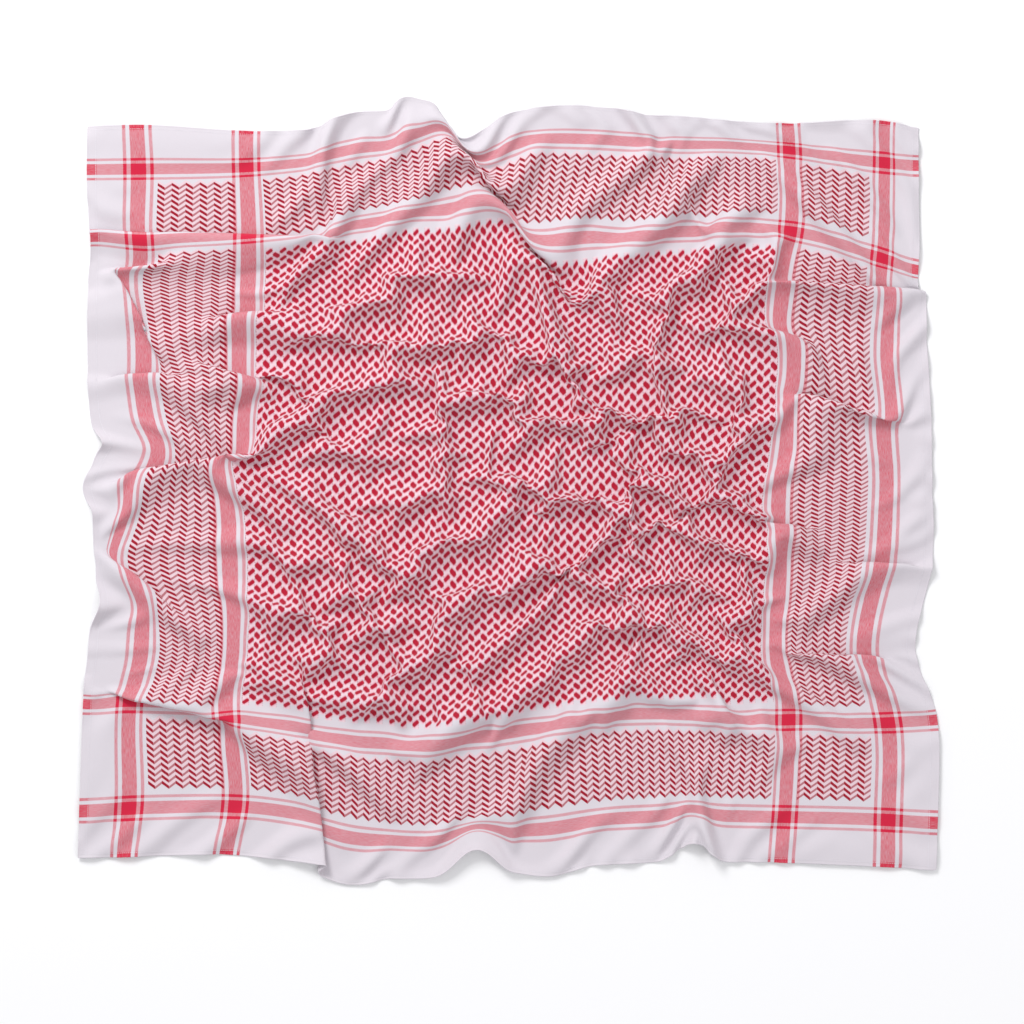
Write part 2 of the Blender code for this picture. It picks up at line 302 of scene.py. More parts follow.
def crowd(off, take, half, reach):
    """How far a fold moves the cloth: in towards its line from reach on each side, packed within half."""
    return take * (rise(off / reach) - rise(off / half))


def standing_fold(places, line, bow, half, take, reach):
    """How a fold that stands up along its line moves each place, sideways and up."""
    off, strength, normal = across_fold(places, line, bow)
    top = np.sqrt(8 * half * take) / np.pi
    sideways = np.outer(crowd(off, take * strength, half, reach), normal)
    return np.column_stack([sideways, strength * top * hump(off / half)])


def lapped_fold(places, line, take, slip):
    """How a fold that is laid over itself moves each place: back and on again, up and along its line."""
    off, strength, normal = across_fold(places, line)
    half = take * LAP_TURN
    turns = rise((off / half + LAP_BEND) / LAP_ROUND) + rise((off / half - LAP_BEND) / LAP_ROUND)
    settled = 1 - rise(off / take - LAP_SETTLE)
    slid = slip * strength * (rise(off / half) - 0.5) * hump(off / REACH)
    sideways = np.outer(crowd(off, take * strength, half, REACH), normal)
    sideways += np.outer(slid, [normal[1], -normal[0]])
    return np.column_stack([sideways, strength * LAP_RISE * turns / 2 * settled])


def laid_cloth(flat):
    """Every point of the flat cloth where it is first laid, folded, above z = 0."""
    places = spread(flat)
    moved = np.zeros((len(flat), 3))
    for side, middle, half, push in WAVES.values():
        lift = WAVE_LIFT * max(-push, 0) * MM
        moved[:, 2] += lift * wave_reach(flat, places, side, middle, half)
    for *line, half, take in RIDGES.values():
        moved += standing_fold(places, line, 0, half * MM, take * MM, REACH)
    for *line, bow, take in CREASES.values():
        taken = take * MM * CREASE_DEPTH
        half = max(CREASE_HALF, taken * CREASE_STEEP)
        moved += standing_fold(places, line, bow, half, taken, CREASE_REACH)
    for *line, take, slip in LAPS.values():
        moved += lapped_fold(places, line, take * MM, slip * MM)
    moved[:, :2] += places
    return moved


# What the folds leave over buckles into soft wrinkles as the cloth settles on the floor. It settles as a
# net of points, first a coarse one that gives the broad soft folds and then a finer one.
STAGES = ((157, 220), (313, 90))  # points each way, and steps
NODES = STAGES[-1][0]
THICKNESS = 0.004  # of a layer with the air it holds
FLOOR_GAP = 0.0016  # between the floor and the middle of the cloth
TALLEST = 0.026  # folds above this flop over
FLOP = 0.05  # the share of their height above it that they lose each step

# The first faint wrinkles, which start the buckling, and the spare cloth that goes into them.
WRINKLE = 0.11  # spacing
WRINKLE_RANGE = (0.8, 1.6)  # shortest and longest wave in them, against that spacing
WRINKLE_HEIGHT = 0.003
WRINKLE_EDGE = 0.06  # halfway from the hems, which have none, to the full height
BORDER = 0.19  # width of the side and end borders, which lie smoother than the field
SLACK_BORDER = 0.03  # share of the cloth that is spare
SLACK_FIELD = 0.12
CALM = 0.08  # halfway from the hems, which keep none of the coarse net's folds, to where all are kept

# How firmly the cloth stays where it is laid at each step: everywhere, and more along the hems.
HOLD = 0.012
HOLD_HEM = 0.10
HOLD_HEM_REACH = 0.045

# How the net of points moves at each step.
KEPT_SPEED = 0.85
SINK = 0.00001  # under its own weight
BENDINGS = 4  # how often it is smoothed, which is more often for a stiffer cloth
STIFFNESS = 0.22
HOLDINGS = 2  # how often it is brought towards its lengths
ALONG_THREADS = 0.9  # how firmly its lengths are kept
ON_THE_BIAS = 0.25
LOOK_AGAIN = 5  # steps between two searches for layers that lie close
LOOK_REACH = 1.5 * THICKNESS
LOOK_APART = 3  # points of one layer nearer than this along the cloth may lie close


def soft_noise(flat, wave, seed=7, count=24):
    """Smooth hills about one wave apart, mostly from -1 to 1, the same on every run."""
    dice = np.random.default_rng(seed)
    total = np.zeros(len(flat))
    for turn in dice.uniform(0, 2 * np.pi, count):
        ahead = np.array([np.cos(turn), np.sin(turn)]) * 2 * np.pi / (wave * dice.uniform(*WRINKLE_RANGE))
        total += np.cos(flat @ ahead + dice.uniform(0, 2 * np.pi))
    return total / np.sqrt(count)


def hold_woven(cloth, rests):
    """One pass that brings warp, weft and both diagonals towards their lengths."""
    weft, warp, diagonal = rests
    left, right, every = slice(None, -1), slice(1, None), slice(None)
    for start in (0, 1):
        near, far = slice(start, -1, 2), slice(start + 1, None, 2)
        for first, second, rest, part in (
            ((every, near), (every, far), weft[:, start::2], ALONG_THREADS),
            ((near, every), (far, every), warp[start::2], ALONG_THREADS),
            ((near, left), (far, right), diagonal[start::2], ON_THE_BIAS),
            ((near, right), (far, left), diagonal[start::2], ON_THE_BIAS),
        ):
            line = cloth[second] - cloth[first]
            length = np.sqrt((line * line).sum(axis=-1, keepdims=True))
            pull = line * (0.5 * part * (1 - rest[..., None] / np.maximum(length, 1e-9)))
            cloth[first] += pull
            cloth[second] -= pull


def lengths_of(laid, flat, step):
    """Lengths that the cloth keeps: woven, or where it is laid smooth, a little more than it spans there."""
    inside = HALF - np.abs(flat)
    border = np.minimum(inside[..., 0], inside[..., 1])
    slack = SLACK_BORDER + (SLACK_FIELD - SLACK_BORDER) * rise((border - BORDER) / (BORDER / 2))
    weft = np.linalg.norm(np.diff(laid, axis=1), axis=-1) * (1 + slack[:, 1:])
    warp = np.linalg.norm(np.diff(laid, axis=0), axis=-1) * (1 + slack[1:])
    weft, warp = np.minimum(weft, step), np.minimum(warp, step)
    return weft, warp, np.hypot(weft[1:], warp[:, 1:])


def lean(field):
    """How far each point's neighbours lie from it on average."""
    padded = np.pad(field, ((1, 1), (1, 1), (0, 0)), mode="reflect", reflect_type="odd")
    around = padded[:-2, 1:-1] + padded[2:, 1:-1] + padded[1:-1, :-2] + padded[1:-1, 2:]
    return around / 4 - field


def unbend(cloth):
    """Draws each point to the plane of its neighbours' neighbours, as a stiff thread does."""
    cloth -= STIFFNESS * lean(lean(cloth))


def close_pairs(cloth, reach, apart):
    """Pairs of points nearer than reach that lie more than apart steps away along the cloth.

    The points are sorted into square cells, and each cell is compared with itself and four neighbours."""
    columns = cloth.shape[1]
    points = cloth.reshape(-1, 3)
    cell = np.floor((points[:, :2] - points[:, :2].min(axis=0)) / reach).astype(np.int64) + 1
    wide = cell[:, 1].max() + 2
    key = cell[:, 0] * wide + cell[:, 1]
    order = np.argsort(key, kind="stable")
    sorted_key = key[order]
    found = []
    for offset in (0, 1, wide - 1, wide, wide + 1):
        start = np.searchsorted(sorted_key, sorted_key + offset, side="left")
        stop = np.searchsorted(sorted_key, sorted_key + offset, side="right")
        if offset == 0:
            start = np.maximum(start, np.arange(len(order)) + 1)
        count = np.maximum(stop - start, 0)
        first = np.repeat(np.arange(len(order)), count)
        second = np.repeat(start - np.cumsum(count) + count, count) + np.arange(count.sum())
        a, b = order[first], order[second]
        far = np.maximum(abs(a // columns - b // columns), abs(a % columns - b % columns)) > apart
        a, b = a[far], b[far]
        gap = points[b] - points[a]
        near = (gap * gap).sum(axis=1) < reach**2
        found.append(np.stack([a[near], b[near]]))
    return np.concatenate(found, axis=1)


def keep_apart(cloth, pairs):
    """Pushes apart the layers that lie nearer than the cloth's thickness."""
    points = cloth.reshape(-1, 3)
    a, b = pairs
    line = points[b] - points[a]
    length = np.sqrt((line * line).sum(axis=1))
    close = length < THICKNESS
    a, b, line, length = a[close], b[close], line[close], length[close]
    push = line * (0.5 * (THICKNESS / np.maximum(length, 1e-9) - 1))[:, None]
    count = len(points)
    share = np.maximum(np.bincount(a, minlength=count) + np.bincount(b, minlength=count), 1)
    for axis in range(3):
        moved = np.bincount(b, push[:, axis], count) - np.bincount(a, push[:, axis], count)
        points[:, axis] += moved / share


def finer(net):
    """The same net with a new point midway between each two neighbours."""
    for axis in (0, 1):
        net = np.moveaxis(net, axis, 0)
        dense = np.empty((2 * len(net) - 1,) + net.shape[1:])
        dense[::2] = net
        dense[1::2] = (net[1:] + net[:-1]) / 2
        net = np.moveaxis(dense, 0, axis)
    return net


def settle(cloth, laid, rests, hold, steps):
    """Moves the net of points under its weight, its stiffness, its lengths, the floor and itself."""
    before = cloth.copy()
    for step in range(steps):
        speed = (cloth - before) * KEPT_SPEED
        before = cloth.copy()
        cloth += speed
        cloth[..., 2] -= SINK
        cloth[..., :2] += hold * (laid[..., :2] - cloth[..., :2])
        for _ in range(BENDINGS):
            unbend(cloth)
        for _ in range(HOLDINGS):
            hold_woven(cloth, rests)
        if step % LOOK_AGAIN == 0:
            pairs = close_pairs(cloth, LOOK_REACH, LOOK_APART)
        keep_apart(cloth, pairs)
        cloth[..., 2] -= FLOP * np.maximum(cloth[..., 2] - TALLEST, 0)
        cloth[..., 2] = np.maximum(cloth[..., 2], FLOOR_GAP)


def flat_net(count):
    """The flat square as a net of points, count each way."""
    line = np.linspace(-HALF, HALF, count)
    return np.stack(np.meshgrid(line, line), axis=-1)


def settled_cloth(stages):
    """The laid cloth let go: it keeps its lengths, buckles where it is crowded and comes to rest."""
    coarse, coarse_laid = None, None
    for count, steps in stages:
        flat = flat_net(count)
        inside = HALF - np.abs(flat).max(axis=-1)
        laid = laid_cloth(flat.reshape(-1, 2)).reshape(count, count, 3)
        cloth = laid.copy()
        if coarse is None:
            wrinkles = 1 + soft_noise(flat.reshape(-1, 2), WRINKLE).reshape(count, count)
            cloth[..., 2] += FLOOR_GAP + WRINKLE_HEIGHT * wrinkles * rise(inside / WRINKLE_EDGE - 1)
        else:
            cloth += finer(coarse - coarse_laid) * rise(inside / CALM - 1)[..., None]
        hold = (HOLD + HOLD_HEM * np.exp(-inside / HOLD_HEM_REACH))[..., None]
        settle(cloth, laid, lengths_of(laid, flat, SIDE / (count - 1)), hold, steps)
        coarse, coarse_laid = cloth, laid
    return cloth


flat_grid = flat_net(NODES)
cloth_grid = settled_cloth(STAGES)


def sheet_piece(name, points, flat, rows, columns, closed=False):
    """A mesh of rows x columns points, its flat place kept as a UV map for the woven figure."""
    mesh = bpy.data.meshes.new(name)
    index = np.arange(rows * columns).reshape(rows, columns)
    if closed:
        index = np.column_stack([index, index[:, 0]])
    corners = np.stack([index[:-1, :-1], index[:-1, 1:], index[1:, 1:], index[1:, :-1]], axis=-1)
    mesh.from_pydata(points.reshape(-1, 3), [], corners.reshape(-1, 4).tolist())
    layer = mesh.uv_layers.new(name="OFBake")
    shares = flat.reshape(-1, 2) / SIDE + 0.5
    layer.uv.foreach_set("vector", shares[corners.reshape(-1)].astype(np.float32).ravel())
    mesh.shade_smooth()
    piece = bpy.data.objects.new(name, mesh)
    bpy.context.scene.collection.objects.link(piece)
    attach(piece, "root")
    return piece


cloth = sheet_piece("woven_square", cloth_grid, flat_grid, NODES, NODES)

# The woven figure is worked out in mm from the middle of the flat square. Red warp along the sides and red
# weft along the ends show pink where they cross white, and solid red where they cross each other. Crimson
# yarn floats over the white, as zigzags in the border panels and as a net of short floats in the field.
WHITE = "DCD6DB"
WHITE_SHADE = "D4CDD4"
PANEL_WHITE = "E4C9D0"  # white with the crimson yarn running under it
NET_WHITE = "E5CED4"
HALO_PINK = "DE94A8"  # round a float, where the crimson yarn dips under the white
BAND_RED = "CE2040"
FLOAT_RED = "9C0A26"
FLOAT_SHINE = "C8203E"
TICK_RED = "8A4050"

# Bands: a core and a thin line along each side of it.
BANDS = (585, 445)
CORE_HALF = 9.75
LINE_OFF = 17.2  # from the middle of the core
LINE_HALF = 2.2
LINE_SHARE = 0.8  # its red, as a share of the core's
BAND_SOFT = 0.4
WARP_BAND = (1, 0.68, 0.2)  # width against these sizes, share of red, and how far its streaks vary it
WEFT_BAND = (0.88, 0.60, 0.125)
STREAKS = (0.25, 0.75)  # the slubs between which a streak goes from palest to reddest
SIDE_HEM = 12 * MM
END_HEM = 6.5 * MM
DOUBLED = 0.45  # how much more red shows where a hem doubles the band

# Net: columns of floats that slant one way in one column and the other way, half a drop lower, in the next.
NET_PITCH = 9  # from column to column
NET_DROP = 16.4  # from float to float down a column
FIELD_HALF = 47 * NET_PITCH  # half width of the field
FIELD_ROWS_HALF = 412  # half height of the part that its floats' middles lie in
SLANT = 2**0.5  # the floats run at 45 degrees, so that distances across them are measured on the slant
FLOAT_HALF = (5.5, 2.7)  # along and across
FLOAT_SOFT = 0.3
FLOAT_WIDER = 0.8  # half width added to the floats that slant down to the right
HALO_HALF = (6.6, 4.1)
HALO_SOFT = (1.0, 1.3)
HALO_SHARE = 0.75
TICK_OFF = 1.9  # short ticks between columns, in pairs above and below halfway from float to float
TICK_HALF, TICK_SOFT = 0.8, 0.3
TICK_REACH = (0.9, 0.4)  # from the edge of the column: where a tick starts and where it is full
TICK_SHARE = 0.55

# Zigzags: rows of them fill the panels between the bands.
ZIGZAG_PERIOD = 18
ZIGZAG_HEIGHT = 7
ZIGZAG_PITCH = 8.2  # from row to row
SIDE_ROWS, END_ROWS = 102, 11
SIDE_ROWS_FROM, TOP_ROWS_FROM, BOTTOM_ROWS_FROM = -411.9, 476.3, -553.9  # height of the lowest row
SIDE_ROW_END = 560.5  # outer end of the rows in the side panels
SIDE_ROW = 5.5 * ZIGZAG_PERIOD  # their length
OVERRUN = 0.5  # past the end of a row and past the field, so that no thread is cut
THIN_LEG, THICK_LEG = 3.7, 4.7  # one leg of each zigzag is thick and the other thin
THIN_SHARE = 0.72  # crimson left on the thin legs, where the yarn dips under the white
LEG_SOFT, LEG_START = 0.35, 0.5  # how soft its upper and its lower edge are

# Yarn: how many of its uneven places there are to a millimetre, and how far they move or tint the figure.
SLUBS_ACROSS, SLUBS_ALONG = 0.42, 0.015
WANDERS, WANDER_BY = 0.45, 1.3
PATCHES = 0.012
GRAIN_SHARE, GRAIN_HEIGHT, GRAIN_SPAN = 0.3, 0.0003, 0.001  # how much the slubs roughen the surface
SHINE = (0.15, 0.4, 0, 0.9)  # the slubs between which a float goes from dull to shining, and how far


def linear(code):
    """An sRGB hex colour as the linear colour that the shader takes."""
    parts = [int(code[i : i + 2], 16) / 255 for i in (0, 2, 4)]
    return [p / 12.92 if p <= 0.04045 else ((p + 0.055) / 1.055) ** 2.4 for p in parts] + [1]


def node(tree, kind, *inputs, **settings):
    """Adds a node, sets it, links or sets its inputs in order, and gives its first output."""
    made = tree.nodes.new(kind)
    for key, value in settings.items():
        setattr(made, key, value)
    for socket, value in zip([s for s in made.inputs if s.enabled], inputs):
        if isinstance(value, bpy.types.NodeSocket):
            tree.links.new(value, socket)
        elif value is not None:
            socket.default_value = value
    return next(s for s in made.outputs if s.enabled)


MATH = "ShaderNodeMath"
MAP = "ShaderNodeMapRange"
MIX = "ShaderNodeMix"
VECTOR = "ShaderNodeVectorMath"
NOISE = "ShaderNodeTexNoise"


def within(tree, off, half, soft, share=1):
    """The share where off is less than half, and none beyond it, with a soft edge."""
    return node(tree, MAP, off, half - soft, half + soft, share, 0)


def product(tree, *values):
    """All the values multiplied together."""
    total = values[0]
    for value in values[1:]:
        total = node(tree, MATH, total, value, operation="MULTIPLY")
    return total


def either(tree, test, yes, no):
    """One number where the test is 1 and the other where it is 0."""
    return node(tree, MATH, test, yes - no, no, operation="MULTIPLY_ADD")


def threads(tree, place):
    """Slubs along the warp and along the weft: short across each thread, long along it.

    Real threads lie 0.4 mm apart and are drawn six times as coarse here, so that they show."""
    slubs = []
    for scale in ((SLUBS_ACROSS, SLUBS_ALONG, 0), (SLUBS_ALONG, SLUBS_ACROSS, 0)):
        drawn_out = node(tree, VECTOR, place, scale, operation="MULTIPLY")
        slubs.append(node(tree, NOISE, drawn_out, None, 1.0, 2.0, noise_dimensions="2D"))
    return slubs


def red_bands(tree, out, slub, band):
    """The share of red in the yarns of one direction: in the core and the lines of its four bands."""
    width, share, streaks = band
    far = node(tree, MATH, out, BANDS[0], operation="SUBTRACT")
    near = node(tree, MATH, out, BANDS[1], operation="SUBTRACT")
    far = node(tree, MATH, far, operation="ABSOLUTE")
    near = node(tree, MATH, near, operation="ABSOLUTE")
    off = node(tree, MATH, far, near, operation="MINIMUM")
    off = node(tree, MATH, off, width, operation="DIVIDE")
    line_off = node(tree, MATH, off, LINE_OFF, operation="SUBTRACT")
    line_off = node(tree, MATH, line_off, operation="ABSOLUTE")
    core = within(tree, off, CORE_HALF, BAND_SOFT)
    line = within(tree, line_off, LINE_HALF, BAND_SOFT, LINE_SHARE)
    red = node(tree, MAP, slub, *STREAKS, share - streaks, share + streaks)
    return product(tree, node(tree, MATH, core, line, operation="MAXIMUM"), red)


def red_share(tree, out_across, out_down, slubs):
    """The share of red in warp and weft together, deeper in the hems, where the cloth is doubled."""
    warp = red_bands(tree, out_across, slubs[0], WARP_BAND)
    weft = red_bands(tree, out_down, slubs[1], WEFT_BAND)
    both = node(tree, MATH, warp, weft, operation="ADD", use_clamp=True)
    in_side_hem = node(tree, MATH, out_across, (HALF - SIDE_HEM) / MM, operation="GREATER_THAN")
    in_end_hem = node(tree, MATH, out_down, (HALF - END_HEM) / MM, operation="GREATER_THAN")
    in_hem = node(tree, MATH, in_side_hem, in_end_hem, operation="MAXIMUM")
    deeper = node(tree, MATH, in_hem, DOUBLED, 1, operation="MULTIPLY_ADD")
    return node(tree, MATH, both, deeper, operation="MULTIPLY", use_clamp=True)


def zigzags(tree, across, down, out_across, out_down):
    """Three shares: of the panels, of the zigzags' yarn in them, and 1 on the zigzags' thick legs."""
    beyond_side = node(tree, MATH, out_across, BANDS[1], operation="GREATER_THAN")
    beyond_end = node(tree, MATH, out_down, BANDS[1], operation="GREATER_THAN")
    above = node(tree, MATH, down, BANDS[1], operation="GREATER_THAN")
    below = node(tree, MATH, down, -BANDS[1], operation="LESS_THAN")

    # Along a row, from its outer end towards the middle of the square.
    row_end = either(tree, beyond_side, SIDE_ROW_END, FIELD_HALF)
    row_length = either(tree, beyond_side, SIDE_ROW + OVERRUN, FIELD_HALF + OVERRUN)
    run = node(tree, MATH, row_end, out_across, operation="SUBTRACT")
    started = node(tree, MATH, run, 0, operation="GREATER_THAN")
    not_ended = node(tree, MATH, run, row_length, operation="LESS_THAN")
    slope = node(tree, MATH, run, ZIGZAG_PERIOD / 2, operation="PINGPONG")
    drop = node(tree, MATH, slope, 2 * ZIGZAG_HEIGHT / ZIGZAG_PERIOD, operation="MULTIPLY")

    # Up from the first row of the panel, along the zigzag's own slope.
    first = either(tree, above, TOP_ROWS_FROM, SIDE_ROWS_FROM)
    first = node(tree, MATH, below, BOTTOM_ROWS_FROM - SIDE_ROWS_FROM, first, operation="MULTIPLY_ADD")
    level = node(tree, MATH, down, drop, operation="ADD")
    level = node(tree, MATH, level, first, operation="SUBTRACT")
    height = either(tree, beyond_end, END_ROWS * ZIGZAG_PITCH, SIDE_ROWS * ZIGZAG_PITCH)
    over_first = node(tree, MATH, level, 0, operation="GREATER_THAN")
    under_last = node(tree, MATH, level, height, operation="LESS_THAN")
    in_row = node(tree, MATH, level, ZIGZAG_PITCH, operation="FLOORED_MODULO")

    # The thick legs fall to the right on both halves of the square.
    turn = node(tree, MATH, run, 1 / ZIGZAG_PERIOD, operation="MULTIPLY")
    turn = node(tree, MATH, turn, operation="FRACT")
    turn = node(tree, MATH, turn, 0.5, operation="SUBTRACT")
    to_right = product(tree, turn, node(tree, MATH, across, operation="SIGN"))
    thick = node(tree, MATH, to_right, 0, operation="GREATER_THAN")
    over = node(tree, MATH, in_row, either(tree, thick, THICK_LEG, THIN_LEG), operation="SUBTRACT")
    leg = product(tree, within(tree, over, 0, LEG_SOFT), node(tree, MAP, in_row, 0, LEG_START, 0, 1))
    border = node(tree, MATH, beyond_side, beyond_end, operation="MAXIMUM")
    panel = product(tree, border, started, not_ended, over_first, under_last)
    return panel, product(tree, leg, panel), thick


def net_of_floats(tree, across, down, out_across):
    """Four shares: of the field, of its floats, of the pink round them and of the ticks between them."""
    column = node(tree, MATH, across, FIELD_HALF, operation="ADD")
    column = node(tree, MATH, column, 1 / NET_PITCH, operation="MULTIPLY")
    number = node(tree, MATH, column, operation="FLOOR")
    odd = node(tree, MATH, number, 2, operation="FLOORED_MODULO")
    beside = node(tree, MATH, column, operation="FRACT")
    beside = node(tree, MATH, beside, 0.5, operation="SUBTRACT")
    beside = node(tree, MATH, beside, NET_PITCH, operation="MULTIPLY")
    over = node(tree, MATH, odd, NET_DROP / 2, down, operation="MULTIPLY_ADD")
    over = node(tree, MATH, over, NET_DROP / 2, operation="ADD")
    over = node(tree, MATH, over, NET_DROP, operation="FLOORED_MODULO")
    over = node(tree, MATH, over, NET_DROP / 2, operation="SUBTRACT")
    leaning = product(tree, either(tree, odd, -1, 1), beside)
    along = node(tree, MATH, over, leaning, operation="ADD")
    along = node(tree, MATH, along, operation="ABSOLUTE")
    aside = node(tree, MATH, over, leaning, operation="SUBTRACT")
    aside = node(tree, MATH, aside, operation="ABSOLUTE")
    aside = node(tree, MATH, odd, -FLOAT_WIDER * SLANT, aside, operation="MULTIPLY_ADD")

    # The field holds whole floats only.
    middle = node(tree, MATH, down, over, operation="SUBTRACT")
    middle = node(tree, MATH, middle, operation="ABSOLUTE")
    whole = node(tree, MATH, middle, FIELD_ROWS_HALF, operation="LESS_THAN")
    inside = node(tree, MATH, out_across, FIELD_HALF + OVERRUN, operation="LESS_THAN")
    field = product(tree, whole, inside)

    float_along = within(tree, along, FLOAT_HALF[0] * SLANT, FLOAT_SOFT * SLANT)
    float_aside = within(tree, aside, FLOAT_HALF[1] * SLANT, FLOAT_SOFT * SLANT)
    halo_along = within(tree, along, HALO_HALF[0] * SLANT, HALO_SOFT[0] * SLANT, HALO_SHARE)
    halo_aside = within(tree, aside, HALO_HALF[1] * SLANT, HALO_SOFT[1] * SLANT)

    tick = node(tree, MATH, down, NET_DROP / 2, operation="FLOORED_MODULO")
    for off in (NET_DROP / 4, TICK_OFF):
        tick = node(tree, MATH, tick, off, operation="SUBTRACT")
        tick = node(tree, MATH, tick, operation="ABSOLUTE")
    edge = node(tree, MATH, beside, operation="ABSOLUTE")
    begins, full = (NET_PITCH / 2 - reach for reach in TICK_REACH)
    edge = node(tree, MAP, edge, begins, full, 0, TICK_SHARE)
    return (
        field,
        product(tree, float_along, float_aside, field),
        product(tree, halo_along, halo_aside, field),
        product(tree, within(tree, tick, TICK_HALF, TICK_SOFT), edge, field),
    )


def figure_colour(tree, place, slubs):
    """The colour of the cotton: the yarns laid on in the order in which they lie."""
    # Yarn is never quite even, so each edge of the figure wanders by a thread or so.
    node(tree, NOISE, place, None, WANDERS, 1.5, noise_dimensions="3D")
    wander = node(tree, VECTOR, tree.nodes[-1].outputs["Color"], (0.5, 0.5, 0.5), operation="SUBTRACT")
    wander = node(tree, VECTOR, wander, (WANDER_BY, WANDER_BY, 0), operation="MULTIPLY")
    uneven = node(tree, VECTOR, place, wander, operation="ADD")
    node(tree, "ShaderNodeSeparateXYZ", uneven)
    across, down = tree.nodes[-1].outputs[0], tree.nodes[-1].outputs[1]
    out_across = node(tree, MATH, across, operation="ABSOLUTE")
    out_down = node(tree, MATH, down, operation="ABSOLUTE")

    panel, zigzag, thick = zigzags(tree, across, down, out_across, out_down)
    field, floats, halo, ticks = net_of_floats(tree, across, down, out_across)
    legs = product(tree, zigzag, either(tree, thick, 1, THIN_SHARE))
    shine = node(tree, MATH, *slubs, operation="MULTIPLY")
    shine = node(tree, MAP, shine, *SHINE)
    yarn = node(tree, MIX, shine, linear(FLOAT_RED), linear(FLOAT_SHINE), data_type="RGBA")
    patches = node(tree, NOISE, place, None, PATCHES, 2.0, noise_dimensions="2D")
    colour = node(tree, MIX, patches, linear(WHITE), linear(WHITE_SHADE), data_type="RGBA")
    for amount, laid_on in (
        (panel, linear(PANEL_WHITE)),
        (field, linear(NET_WHITE)),
        (red_share(tree, out_across, out_down, slubs), linear(BAND_RED)),
        (halo, linear(HALO_PINK)),
        (ticks, linear(TICK_RED)),
        (floats, yarn),
        (legs, linear(FLOAT_RED)),
    ):
        colour = node(tree, MIX, amount, colour, laid_on, data_type="RGBA")
    return colour


def woven_cotton(name):
    """Plain-woven cotton with its whole figure: matt, faintly fuzzy at a slant, with streaks of thread."""
    material = bpy.data.materials.new(name)
    material.use_nodes = True
    tree = material.node_tree
    share = node(tree, "ShaderNodeUVMap", uv_map="OFBake")
    centred = node(tree, VECTOR, share, (0.5, 0.5, 0), operation="SUBTRACT")
    place = node(tree, VECTOR, centred, (SIDE / MM, SIDE / MM, 0), operation="MULTIPLY")
    slubs = threads(tree, place)
    colour = figure_colour(tree, place, slubs)
    grain = node(tree, MATH, *slubs, operation="ADD")
    bump = node(tree, "ShaderNodeBump", GRAIN_SHARE, GRAIN_HEIGHT, GRAIN_SPAN, grain)

    shader = tree.nodes["Principled BSDF"]
    tree.links.new(colour, shader.inputs["Base Color"])
    tree.links.new(bump, shader.inputs["Normal"])
    shader.inputs["Roughness"].default_value = 0.9
    shader.inputs["Specular IOR Level"].default_value = 0.25
    shader.inputs["Sheen Weight"].default_value = 0.2
    shader.inputs["Sheen Roughness"].default_value = 0.5
    return material


cotton = woven_cotton("plain_woven_cotton")
cloth.data.materials.append(cotton)
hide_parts("cloth")

# --- Hems --------------------------------------------------------------------------------------------
# Each edge of the square is turned under once and stitched down: 12 mm at the sides, 6.5 mm at the top
# and bottom. Each hem is the turned cotton itself, rolled over the edge and flat against the underside.

HEMS = {  # axis that points out, way out, width
    "hem_left": (0, -1, SIDE_HEM),
    "hem_right": (0, 1, SIDE_HEM),
    "hem_top": (1, 1, END_HEM),
    "hem_bottom": (1, -1, END_HEM),
}
SLOPE_READ = 2 * MM  # how far in from the edge the cloth's own slope is read
cloth_normals = np.cross(np.gradient(cloth_grid, axis=1), np.gradient(cloth_grid, axis=0))
cloth_normals /= np.linalg.norm(cloth_normals, axis=-1, keepdims=True)


def read_net(net_values, flat):
    """The values of a net at these flat places, straight between its points."""
    at = (flat / SIDE + 0.5).clip(0, 1) * (NODES - 1)
    low = np.minimum(at.astype(int), NODES - 2)
    across, down = (at - low)[:, :1], (at - low)[:, 1:]
    column, row = low[:, 0], low[:, 1]
    lower = net_values[row, column] * (1 - across) + net_values[row, column + 1] * across
    upper = net_values[row + 1, column] * (1 - across) + net_values[row + 1, column + 1] * across
    return lower * (1 - down) + upper * down


def on_cloth(flat, lift):
    """Places on the settled cloth at these flat places, lifted along its normal."""
    return read_net(cloth_grid, flat) + read_net(cloth_normals, flat) * lift


def roll(width):
    """The hem's outline: how far inside the edge, past it if below 0, and how far above the cloth, in mm."""
    return (
        (1.2, 0.12),
        (0.2, 0.30),
        (-0.5, 0.05),
        (-0.6, -0.5),
        (0.2, -0.95),
        (2.5, -1.05),
        (width - 0.4, -1.05),
        (width, -0.8),
        (width - 0.4, -0.35),
        (2.5, -0.3),
    )


def hem_line(out_axis, out, inside, lift):
    """One line along the hem: its places on the settled cloth and its flat places."""
    flat = np.empty((NODES, 2))
    flat[:, 1 - out_axis] = np.linspace(-HALF, HALF, NODES)
    flat[:, out_axis] = out * (HALF - max(inside, 0) * MM)
    places = on_cloth(flat, lift * MM)
    if inside < 0:
        further_in = flat.copy()
        further_in[:, out_axis] -= out * SLOPE_READ
        outward = places - on_cloth(further_in, lift * MM)
        places -= outward / np.linalg.norm(outward, axis=1, keepdims=True) * inside * MM
    return places, flat


for name, (out_axis, out, width) in HEMS.items():
    lines = [hem_line(out_axis, out, inside, lift) for inside, lift in roll(width / MM)]
    points = np.stack([places for places, _ in lines], axis=1)
    flats = np.stack([flat for _, flat in lines], axis=1)
    hem = sheet_piece("turned_" + name, points, flats, NODES, len(lines), closed=True)
    hem.data.materials.append(cotton)
    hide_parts(name)

# --- Stitches ----------------------------------------------------------------------------------------
# One row of lockstitch in white cotton thread holds each hem down, close to its inner edge. Each stitch
# is a short strip of thread that comes up out of the cloth and goes down into it.

